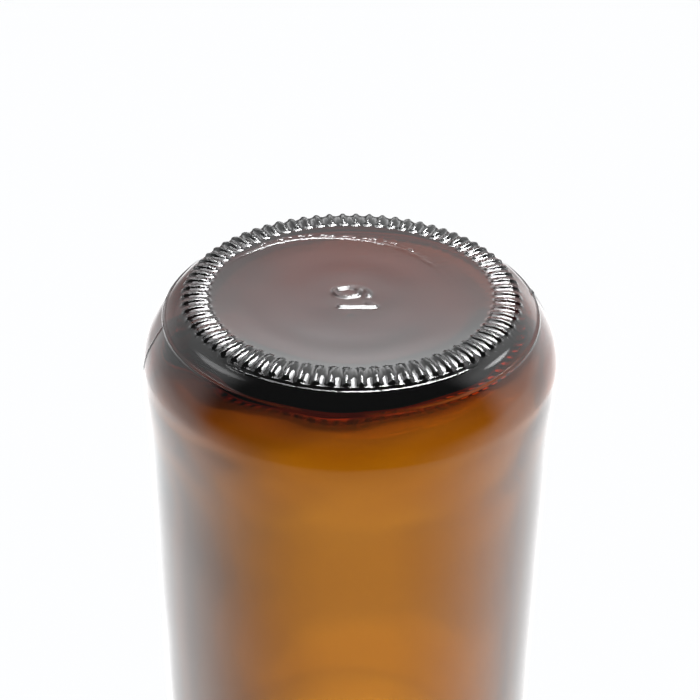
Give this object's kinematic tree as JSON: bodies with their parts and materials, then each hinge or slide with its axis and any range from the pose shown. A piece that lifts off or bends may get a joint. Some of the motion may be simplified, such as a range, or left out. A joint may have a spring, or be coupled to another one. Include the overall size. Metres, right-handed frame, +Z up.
{
  "type": "glass milk bottle",
  "caption": "Round amber glass milk bottle with a ribbed bearing ring, bead lip and stepped cap seat, closed by a stapled-tab paperboard disc that lifts out.",
  "frame": {"origin": "centre of the bearing ring that the bottle stands on, at its lowest plane", "axes": "+Z up the bottle from base to mouth; +Y the way the free end of the pull tab points"},
  "size_m": [0.09, 0.09, 0.25],
  "materials": {
    "amber_glass": "smooth moulded amber glass, glossy, lightly uneven inside",
    "waxed_board": "waxed paperboard, satin, wood-pulp fibre",
    "tab_paper": "uncoated kraft paper, matte",
    "staple_wire": "bright drawn steel wire"
  },
  "bodies": {
    "bottle": {"glass_bottle": "amber_glass"},
    "cap": {"cap_disc": "waxed_board", "tab_root": "tab_paper", "tab_staple": "staple_wire"},
    "tab": {"pull_tab": "tab_paper"}
  },
  "joints": [
    {"name": "cap_lift", "type": "slide", "parent": "bottle", "child": "cap", "axis": [0, 0, 1], "range_m": [0, 0.06]},
    {"name": "tab_fold", "type": "hinge", "parent": "cap", "child": "tab", "pos_m": [0, -0.0006, 0.24555], "axis": [1, 0, 0], "range_deg": [0, 120]}
  ]
}
